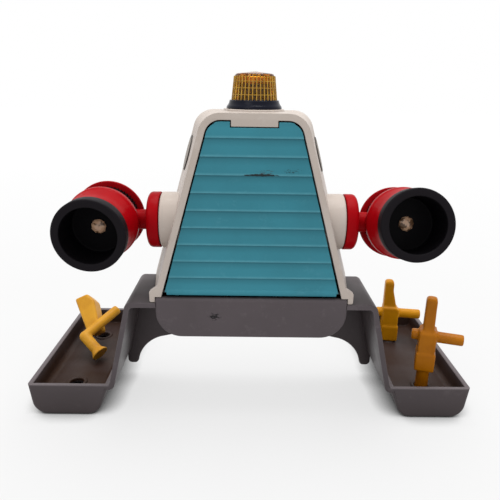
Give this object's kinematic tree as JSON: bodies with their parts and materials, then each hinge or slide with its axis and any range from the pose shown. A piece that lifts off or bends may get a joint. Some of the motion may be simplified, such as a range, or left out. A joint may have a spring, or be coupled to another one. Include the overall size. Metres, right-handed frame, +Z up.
{
  "type": "toy lander",
  "caption": "Toy lander with a hinged slatted ramp door, roof beacon, swivelling side lamps and open outrigger trays with sockets for plug-in tools.",
  "frame": {"origin": "centre of the bounding box at the level the trays stand on", "axes": "+X to the right seen from the front, +Y to the rear, +Z up"},
  "size_m": [0.2, 0.0969, 0.15],
  "materials": {
    "hull_grey": "satin moulded plastic, lightly scuffed",
    "steel": "plain bright steel",
    "cabin_white": "aged white moulded plastic",
    "porthole_beige": "grey-beige insert",
    "ramp_turquoise": "satin moulded plastic, scuffed",
    "beacon_black": "glossy black plastic",
    "beacon_amber": "clear amber ribbed plastic",
    "lamp_red": "glossy red moulded plastic",
    "lamp_black": "satin black plastic",
    "lamp_jewel": "small clear moulded lens",
    "tool_yellow": "waxy yellow plastic"
  },
  "bodies": {
    "hull": {"hull_tub": "hull_grey", "left_outrigger": "hull_grey", "right_outrigger": "hull_grey", "rear_bulkhead": "hull_grey", "bulkhead_screws": "steel", "cabin_shell": "cabin_white", "left_porthole": "porthole_beige", "right_porthole": "porthole_beige", "ramp_hinge_pin": "steel", "beacon_collar": "beacon_black", "beacon_lens": "beacon_amber"},
    "ramp": {"ramp_door": "ramp_turquoise"},
    "left_lamp": {"left_lamp_housing": "lamp_red", "left_lamp_rear_cap": "lamp_red", "left_lamp_cup": "lamp_black", "left_lamp_lens": "lamp_jewel", "left_pivot_pin": "steel", "left_pivot_washer": "steel"},
    "right_lamp": {"right_lamp_housing": "lamp_red", "right_lamp_rear_cap": "lamp_red", "right_lamp_cup": "lamp_black", "right_lamp_lens": "lamp_jewel", "right_pivot_pin": "steel", "right_pivot_washer": "steel"},
    "front_tool": {"front_peg_tool": "tool_yellow"},
    "rear_tool": {"rear_peg_tool": "tool_yellow"},
    "lying_tool": {"loose_tool": "tool_yellow"}
  },
  "joints": [
    {"name": "ramp_hinge", "type": "hinge", "parent": "hull", "child": "ramp", "pos_m": [0, -0.0322, 0.0609], "axis": [1, 0, 0], "range_deg": [0, 118]},
    {"name": "left_lamp_swivel", "type": "hinge", "parent": "hull", "child": "left_lamp", "pos_m": [-0.063, -0.018, 0.0886], "axis": [1, 0, 0], "continuous": true},
    {"name": "right_lamp_swivel", "type": "hinge", "parent": "hull", "child": "right_lamp", "pos_m": [0.063, -0.018, 0.0886], "axis": [1, 0, 0], "continuous": true},
    {"name": "front_tool_lift", "type": "slide", "parent": "hull", "child": "front_tool", "axis": [0, 0, 1], "range_m": [0, 0.03]},
    {"name": "rear_tool_lift", "type": "slide", "parent": "hull", "child": "rear_tool", "axis": [0, 0, 1], "range_m": [0, 0.03]},
    {"name": "loose_tool_lift", "type": "slide", "parent": "hull", "child": "lying_tool", "axis": [0, 0, 1], "range_m": [0, 0.03]}
  ]
}
